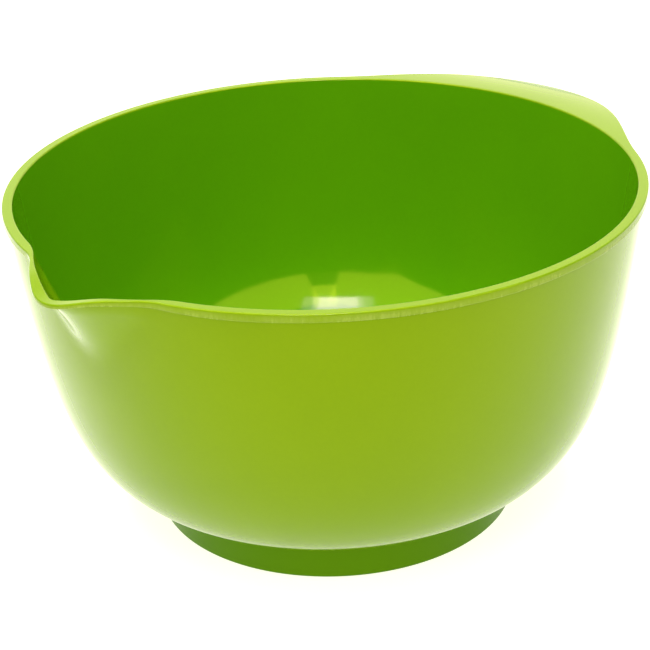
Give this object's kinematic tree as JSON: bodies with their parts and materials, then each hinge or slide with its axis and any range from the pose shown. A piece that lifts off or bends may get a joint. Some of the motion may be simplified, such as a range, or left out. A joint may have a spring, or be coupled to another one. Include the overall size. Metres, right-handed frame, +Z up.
{
  "type": "mixing bowl",
  "caption": "Deep round mixing bowl with a pouring spout, a wide grip flange opposite it, a short foot and a soft anti-slip ring under the foot.",
  "frame": {"origin": "centre of the soft ring's underside, on the surface the bowl stands on", "axes": "+Z up out of the bowl, +X towards the grip, -X towards the spout"},
  "size_m": [0.2538, 0.2188, 0.121],
  "materials": {
    "glossy_green": "glossy",
    "soft_rubber": "matte"
  },
  "bodies": {
    "foot_ring": {"anti_slip_ring": "soft_rubber"},
    "bowl": {"bowl_shell": "glossy_green"}
  },
  "joints": [
    {"name": "ring_pull_off", "type": "slide", "parent": "foot_ring", "child": "bowl", "axis": [0, 0, 1], "range_m": [0, 0.02]}
  ]
}
